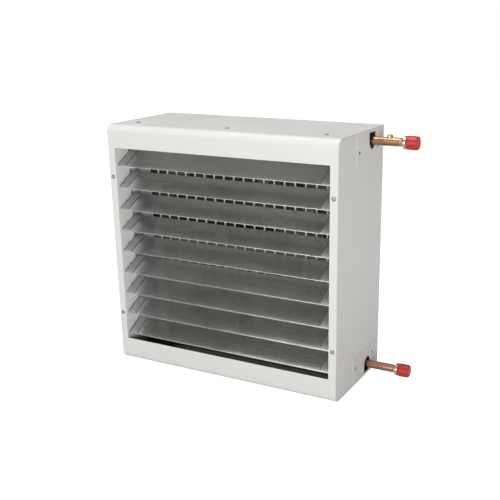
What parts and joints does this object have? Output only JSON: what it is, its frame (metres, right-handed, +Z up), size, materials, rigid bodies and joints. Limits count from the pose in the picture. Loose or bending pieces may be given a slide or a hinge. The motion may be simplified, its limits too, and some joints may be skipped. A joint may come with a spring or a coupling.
{
  "type": "hot water fan heater",
  "caption": "Square wall-hung fan heater: steel casing, tilting air louvres, guard grid, axial fan, finned hot-water coil and two side copper pipe ends with caps.",
  "frame": {"origin": "centre of the casing's flat bottom face", "axes": "+Z up, -Y is the louvred air outlet, +Y the rear intake and wall side, +X the side the pipes leave"},
  "size_m": [0.6647, 0.2468, 0.5627],
  "materials": {
    "casing_paint": "satin warm off-white powder coat",
    "galvanised_steel": "bare galvanised sheet",
    "louvre_aluminium": "satin brushed extruded aluminium",
    "fin_aluminium": "thin dull fins",
    "motor_steel": "black dipped motor body",
    "fan_plastic": "glass-filled moulding",
    "screw_zinc": "bright zinc plate",
    "bearing_steel": "ground steel",
    "pipe_copper": "drawn copper, slightly tarnished",
    "fitting_brass": "machined brass",
    "cap_red": "soft moulded cap",
    "terminal_plastic": "pale moulding",
    "rubber_black": "matt"
  },
  "bodies": {
    "casing": {"front_frame": "casing_paint", "top_panel": "casing_paint", "bottom_panel": "casing_paint", "left_side_panel": "casing_paint", "right_side_panel": "casing_paint", "left_louvre_rail": "casing_paint", "right_louvre_rail": "casing_paint", "upper_pipe_cover": "casing_paint", "lower_pipe_cover": "casing_paint", "rear_frame": "galvanised_steel", "guard_grid": "galvanised_steel", "left_guard_bracket": "galvanised_steel", "right_guard_bracket": "galvanised_steel", "fan_shroud_plate": "galvanised_steel", "motor_bracket": "galvanised_steel", "coil_top_plate": "galvanised_steel", "coil_bottom_plate": "galvanised_steel", "coil_core": "fin_aluminium", "motor_stator": "motor_steel", "terminal_box": "fan_plastic", "terminal_box_lid": "fan_plastic", "front_screw_1": "screw_zinc", "front_screw_2": "screw_zinc", "front_screw_3": "screw_zinc", "front_screw_4": "screw_zinc", "top_screw_1": "screw_zinc", "top_screw_2": "screw_zinc", "top_screw_3": "screw_zinc", "upper_cover_screw_1": "screw_zinc", "upper_cover_screw_2": "screw_zinc", "lower_cover_screw_1": "screw_zinc", "lower_cover_screw_2": "screw_zinc", "weld_nut_1": "screw_zinc", "weld_nut_2": "screw_zinc", "weld_nut_3": "screw_zinc", "weld_nut_4": "screw_zinc", "motor_bearing_1": "bearing_steel", "motor_bearing_2": "bearing_steel", "upper_header_pipe": "pipe_copper", "lower_header_pipe": "pipe_copper", "upper_pipe_union": "fitting_brass", "lower_pipe_union": "fitting_brass", "vent_body": "fitting_brass", "terminal_block": "terminal_plastic", "cable_grommet": "rubber_black"},
    "fan": {"motor_shaft": "bearing_steel", "rotor_can": "motor_steel", "fan_impeller": "fan_plastic"},
    "vent_key_screw": {"vent_screw": "fitting_brass"},
    "upper_cap": {"upper_pipe_cap": "cap_red"},
    "lower_cap": {"lower_pipe_cap": "cap_red"},
    "louvre_1_blade": {"louvre_1": "louvre_aluminium"},
    "louvre_2_blade": {"louvre_2": "louvre_aluminium"},
    "louvre_3_blade": {"louvre_3": "louvre_aluminium"},
    "louvre_4_blade": {"louvre_4": "louvre_aluminium"},
    "louvre_5_blade": {"louvre_5": "louvre_aluminium"},
    "louvre_6_blade": {"louvre_6": "louvre_aluminium"},
    "louvre_7_blade": {"louvre_7": "louvre_aluminium"},
    "louvre_8_blade": {"louvre_8": "louvre_aluminium"},
    "louvre_9_blade": {"louvre_9": "louvre_aluminium"}
  },
  "joints": [
    {"name": "louvre_1_tilt", "type": "hinge", "parent": "casing", "child": "louvre_1_blade", "pos_m": [0, -0.091, 0.08075], "axis": [1, 0, 0], "range_deg": [-60, 45]},
    {"name": "louvre_2_tilt", "type": "hinge", "parent": "casing", "child": "louvre_2_blade", "pos_m": [0, -0.091, 0.131], "axis": [1, 0, 0], "range_deg": [-60, 45]},
    {"name": "louvre_3_tilt", "type": "hinge", "parent": "casing", "child": "louvre_3_blade", "pos_m": [0, -0.091, 0.18125], "axis": [1, 0, 0], "range_deg": [-60, 45]},
    {"name": "louvre_4_tilt", "type": "hinge", "parent": "casing", "child": "louvre_4_blade", "pos_m": [0, -0.091, 0.2315], "axis": [1, 0, 0], "range_deg": [-60, 45]},
    {"name": "louvre_5_tilt", "type": "hinge", "parent": "casing", "child": "louvre_5_blade", "pos_m": [0, -0.091, 0.28175], "axis": [1, 0, 0], "range_deg": [-60, 45]},
    {"name": "louvre_6_tilt", "type": "hinge", "parent": "casing", "child": "louvre_6_blade", "pos_m": [0, -0.091, 0.332], "axis": [1, 0, 0], "range_deg": [-60, 45]},
    {"name": "louvre_7_tilt", "type": "hinge", "parent": "casing", "child": "louvre_7_blade", "pos_m": [0, -0.091, 0.38225], "axis": [1, 0, 0], "range_deg": [-60, 45]},
    {"name": "louvre_8_tilt", "type": "hinge", "parent": "casing", "child": "louvre_8_blade", "pos_m": [0, -0.091, 0.4325], "axis": [1, 0, 0], "range_deg": [-60, 45]},
    {"name": "louvre_9_tilt", "type": "hinge", "parent": "casing", "child": "louvre_9_blade", "pos_m": [0, -0.091, 0.48275], "axis": [1, 0, 0], "range_deg": [-60, 45]},
    {"name": "fan_spin", "type": "hinge", "parent": "casing", "child": "fan", "pos_m": [0, 0, 0.28], "axis": [0, 1, 0], "continuous": true},
    {"name": "vent_screw_turn", "type": "hinge", "parent": "casing", "child": "vent_key_screw", "pos_m": [0.32, 0.053, 0.552], "axis": [0, 0, 1], "range_deg": [0, 360]},
    {"name": "upper_cap_pull", "type": "slide", "parent": "casing", "child": "upper_cap", "axis": [1, 0, 0], "range_m": [0, 0.03]},
    {"name": "lower_cap_pull", "type": "slide", "parent": "casing", "child": "lower_cap", "axis": [1, 0, 0], "range_m": [0, 0.03]}
  ]
}
